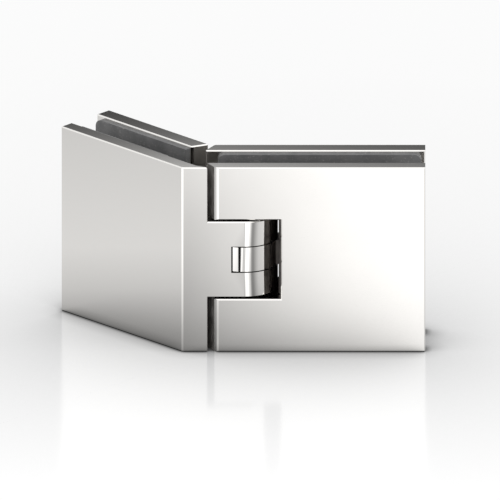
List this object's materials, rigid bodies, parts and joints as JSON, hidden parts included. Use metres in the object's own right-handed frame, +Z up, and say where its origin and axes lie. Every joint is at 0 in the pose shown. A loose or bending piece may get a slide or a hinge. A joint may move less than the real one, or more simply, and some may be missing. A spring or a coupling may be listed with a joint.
{
  "type": "glass door hinge",
  "caption": "Glass-to-glass shower door hinge: two clamping leaves at 135 degrees, joined by a round barrel with a pin, in polished chrome.",
  "frame": {"origin": "on the pivot axis, level with the lower edges of the plates, on which the hinge stands", "axes": "+X along the closed door leaf, away from the pivot; +Y from the front to the back; +Z up along the pivot axis"},
  "size_m": [0.1484, 0.0687, 0.08],
  "materials": {
    "polished_chrome": "polished chrome plate on brass",
    "chrome_screw": "chrome plated steel",
    "stainless_pin": "ground stainless steel",
    "blackened_screw": "black oxide steel",
    "spring_steel": "oiled spring steel",
    "gasket_rubber": "matt dark grey rubber sheet",
    "acetal_bush": "natural white acetal"
  },
  "bodies": {
    "fixed_leaf": {"fixed_front_plate": "polished_chrome", "fixed_back_plate": "polished_chrome", "fixed_front_gasket": "gasket_rubber", "fixed_back_gasket": "gasket_rubber", "fixed_clamp_screw_upper": "chrome_screw", "fixed_clamp_screw_lower": "chrome_screw", "hinge_pin": "stainless_pin", "pin_set_screw_upper": "blackened_screw", "pin_set_screw_lower": "blackened_screw"},
    "door_leaf": {"door_front_plate": "polished_chrome", "door_back_plate": "polished_chrome", "door_pivot_block": "polished_chrome", "door_front_gasket": "gasket_rubber", "door_back_gasket": "gasket_rubber", "door_clamp_screw_upper": "chrome_screw", "door_clamp_screw_lower": "chrome_screw", "pivot_block_screw_upper": "blackened_screw", "pivot_block_screw_lower": "blackened_screw", "knuckle_bush_upper": "acetal_bush", "knuckle_bush_lower": "acetal_bush", "thrust_washer_upper": "acetal_bush", "thrust_washer_lower": "acetal_bush", "detent_disc_springs": "spring_steel", "detent_adjuster_screw": "blackened_screw"},
    "plunger": {"detent_plunger": "stainless_pin"}
  },
  "joints": [
    {"name": "door_swing", "type": "hinge", "parent": "fixed_leaf", "child": "door_leaf", "pos_m": [0, 0, 0.04], "axis": [0, 0, 1], "range_deg": [-90, 90]},
    {"name": "plunger_travel", "type": "slide", "parent": "door_leaf", "child": "plunger", "axis": [1, 0, 0], "range_m": [-0.0006, 0], "stiffness_N_per_m": 400, "springref_m": -0.002}
  ]
}
